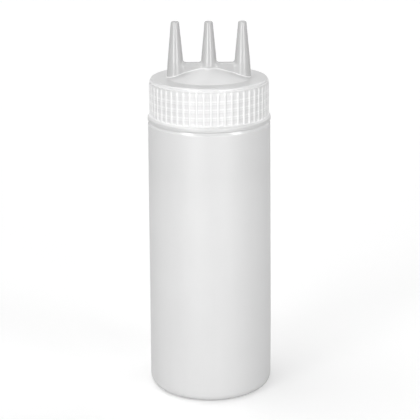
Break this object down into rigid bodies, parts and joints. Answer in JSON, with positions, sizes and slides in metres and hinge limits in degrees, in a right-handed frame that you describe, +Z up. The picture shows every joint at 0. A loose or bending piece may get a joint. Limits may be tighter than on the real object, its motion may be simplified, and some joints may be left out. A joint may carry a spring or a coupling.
{
  "type": "squeeze bottle",
  "caption": "Tall round squeeze bottle of frosted plastic with a ribbed screw cap that carries tapered nozzles in a row on a web.",
  "frame": {"origin": "middle of the foot, on the surface that the bottle stands on", "axes": "+Z up along the bottle; the nozzles stand in a row along X; -Y is the front"},
  "size_m": [0.0747, 0.0748, 0.2243],
  "materials": {
    "body_plastic": "natural low-density polyethylene, milky and faintly see-through, satin",
    "cap_plastic": "natural low-density polyethylene, milky, a little glossier than the body"
  },
  "bodies": {
    "root": {"bottle_body": "body_plastic", "screw_cap": "cap_plastic"}
  },
  "joints": []
}
